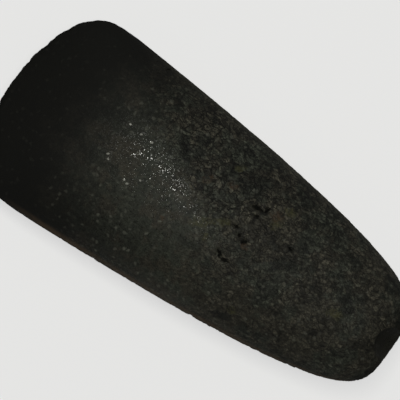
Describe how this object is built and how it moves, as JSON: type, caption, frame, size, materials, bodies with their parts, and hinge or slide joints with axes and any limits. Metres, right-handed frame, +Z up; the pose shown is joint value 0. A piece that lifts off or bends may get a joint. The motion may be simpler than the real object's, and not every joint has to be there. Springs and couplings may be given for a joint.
{
  "type": "polished stone axe head",
  "caption": "Unhafted axe head of dark ground and polished greenstone, with a broad curved cutting edge and a narrow blunt butt.",
  "frame": {"origin": "on the ground plane under the middle of the head's box, on the small flat that it lies on", "axes": "+X along the head from the butt to the cutting edge, +Y across its width, +Z up through its thickness"},
  "size_m": [0.13, 0.059, 0.033],
  "materials": {
    "greenstone": "satin"
  },
  "bodies": {
    "root": {"axe_head": "greenstone"}
  },
  "joints": []
}
